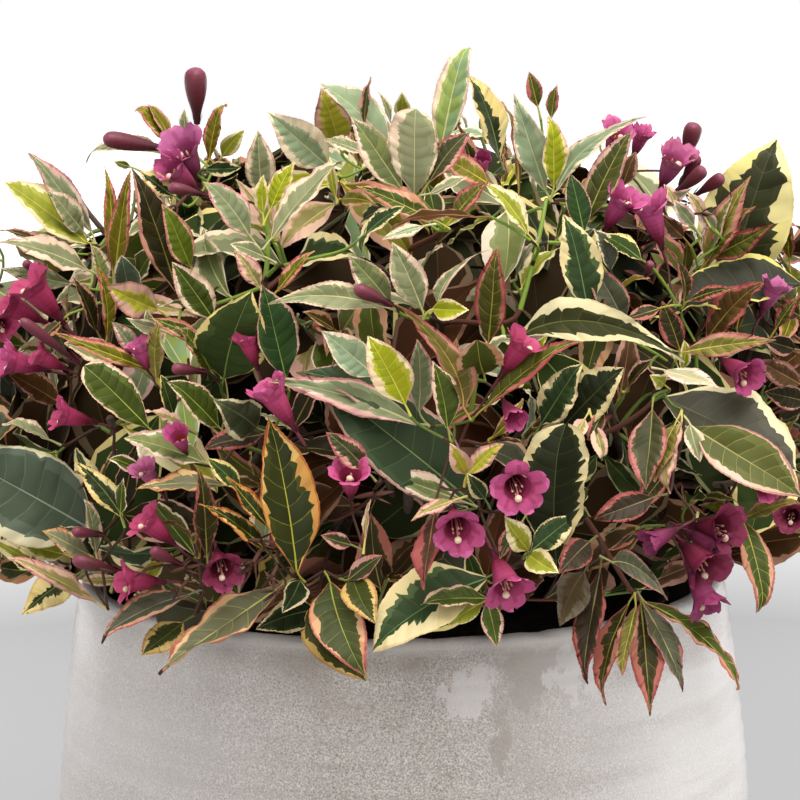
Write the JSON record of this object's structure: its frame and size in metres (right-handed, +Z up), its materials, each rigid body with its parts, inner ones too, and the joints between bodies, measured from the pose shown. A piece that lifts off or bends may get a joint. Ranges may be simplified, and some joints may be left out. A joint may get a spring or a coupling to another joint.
{
  "type": "potted variegated weigela shrub",
  "caption": "Low rounded shrub with cream and pink edged leaves and magenta trumpet flowers, growing in a round-bellied stone-coloured planter",
  "frame": {"origin": "the centre of the planter's flat underside, on the surface it stands on", "axes": "+Z up; -Y is the front, the side seen in the picture; +X is to the right seen from the front"},
  "size_m": [0.5225, 0.4923, 0.575],
  "materials": {
    "planter": "matte",
    "nursery_pot": "satin",
    "potting_soil": "matte",
    "bark": "matte",
    "foliage": "satin"
  },
  "bodies": {
    "root": {"bough_back_left": "bark", "bough_back_middle": "bark", "bough_back_right": "bark", "bough_crown_back": "bark", "bough_crown_front": "bark", "bough_crown_left": "bark", "bough_crown_right": "bark", "bough_crown_top": "bark", "bough_front_left": "bark", "bough_front_middle": "bark", "bough_front_right": "bark", "bough_shoulder_left": "bark", "bough_shoulder_right": "bark", "foliage_back_left": "foliage", "foliage_back_middle": "foliage", "foliage_back_right": "foliage", "foliage_crown_back": "foliage", "foliage_crown_front": "foliage", "foliage_crown_left": "foliage", "foliage_crown_right": "foliage", "foliage_crown_top": "foliage", "foliage_front_left": "foliage", "foliage_front_middle": "foliage", "foliage_front_right": "foliage", "foliage_shoulder_left": "foliage", "foliage_shoulder_right": "foliage", "nursery_pot": "nursery_pot", "overhang_back_left": "foliage", "overhang_back_right": "foliage", "overhang_front_left": "foliage", "overhang_front_right": "foliage", "overhang_left": "foliage", "overhang_right": "foliage", "planter": "planter", "potting_soil": "potting_soil", "stem": "bark"}
  },
  "joints": []
}
